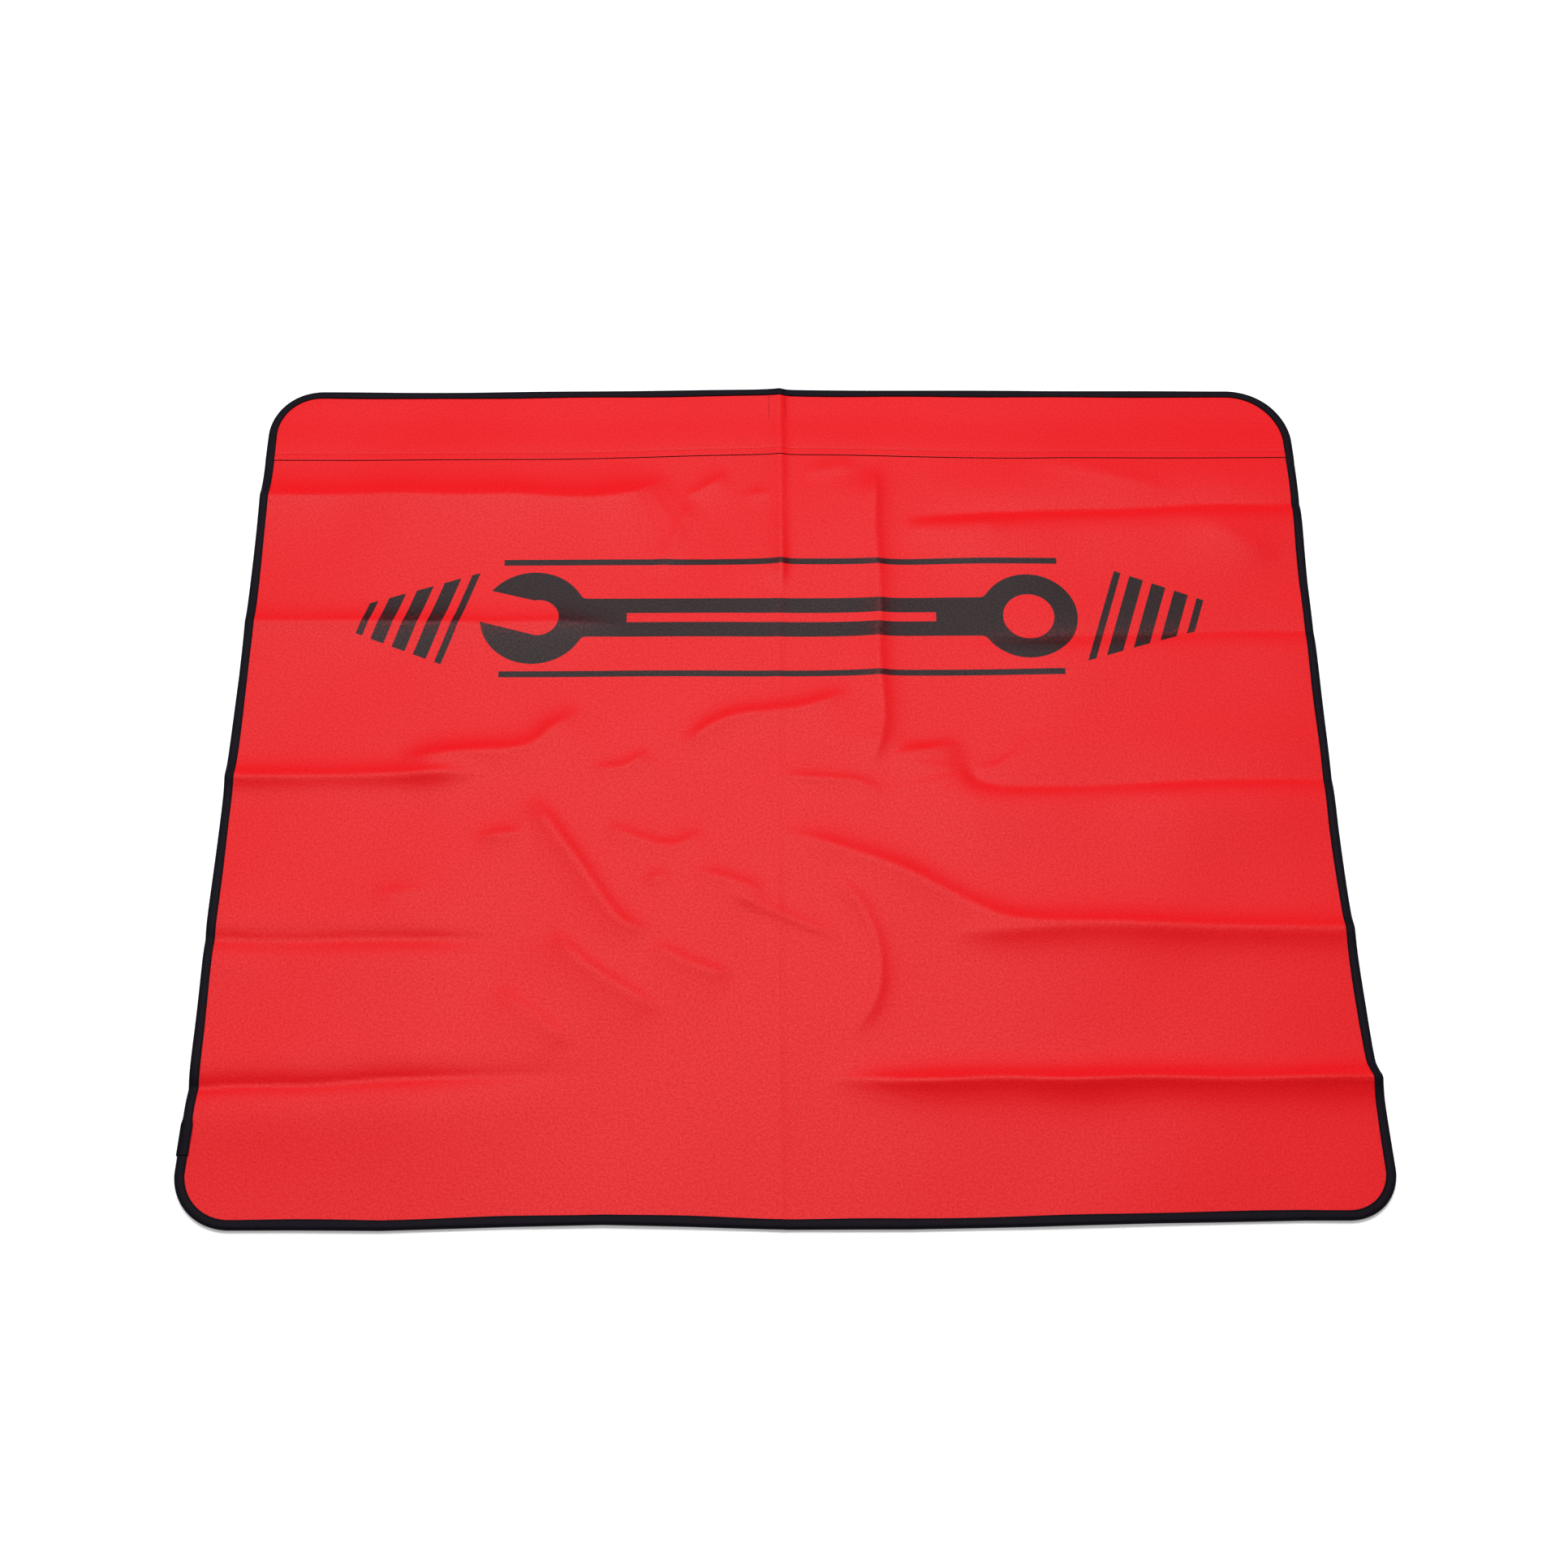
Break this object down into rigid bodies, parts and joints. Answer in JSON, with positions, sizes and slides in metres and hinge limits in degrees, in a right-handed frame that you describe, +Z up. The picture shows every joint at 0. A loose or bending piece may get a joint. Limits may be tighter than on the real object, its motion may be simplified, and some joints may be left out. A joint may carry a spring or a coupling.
{
  "type": "magnetic wing cover",
  "caption": "Padded leatherette sheet with a bound edge and magnets in its top edge, laid over a vehicle's wing to protect the paint; it folds in half.",
  "frame": {"origin": "on the surface the cover lies on, under the middle of its outline", "axes": "+X along the width, +Y along the length towards the magnet header, +Z up out of the printed face"},
  "size_m": [1, 0.85, 0.005],
  "materials": {
    "leatherette": "red polyurethane leatherette with a fine pressed grain, low satin gloss, charcoal print on the face",
    "binding_tape": "black coated binding tape, matt, with a fine line of stitches",
    "lining": "dark grey brushed fleece, soft and matt",
    "foam": "off-white open-cell foam sheet",
    "magnet_rubber": "dark brown rubber-bonded ferrite, smooth and matt",
    "red_thread": "red twisted polyester sewing thread",
    "black_thread": "black twisted polyester sewing thread"
  },
  "bodies": {
    "right_half": {"backing_lining_right": "lining", "foam_padding_right": "foam", "face_skin_right": "leatherette", "header_band_right": "leatherette", "magnet_strip_right_1": "magnet_rubber", "magnet_strip_right_2": "magnet_rubber", "magnet_strip_right_3": "magnet_rubber", "header_needle_thread_right": "red_thread", "header_bobbin_thread_right": "red_thread", "pocket_needle_thread_right": "red_thread", "pocket_bobbin_thread_right": "red_thread", "edge_binding_right": "binding_tape", "binding_needle_thread_right": "black_thread", "binding_bobbin_thread_right": "black_thread"},
    "left_half": {"backing_lining_left": "lining", "foam_padding_left": "foam", "face_skin_left": "leatherette", "header_band_left": "leatherette", "magnet_strip_left_1": "magnet_rubber", "magnet_strip_left_2": "magnet_rubber", "magnet_strip_left_3": "magnet_rubber", "header_needle_thread_left": "red_thread", "header_bobbin_thread_left": "red_thread", "pocket_needle_thread_left": "red_thread", "pocket_bobbin_thread_left": "red_thread", "edge_binding_left": "binding_tape", "binding_needle_thread_left": "black_thread", "binding_bobbin_thread_left": "black_thread"}
  },
  "joints": [
    {"name": "centre_fold", "type": "hinge", "parent": "right_half", "child": "left_half", "pos_m": [0, 0, 0.008], "axis": [0, 1, 0], "range_deg": [0, 175]}
  ]
}
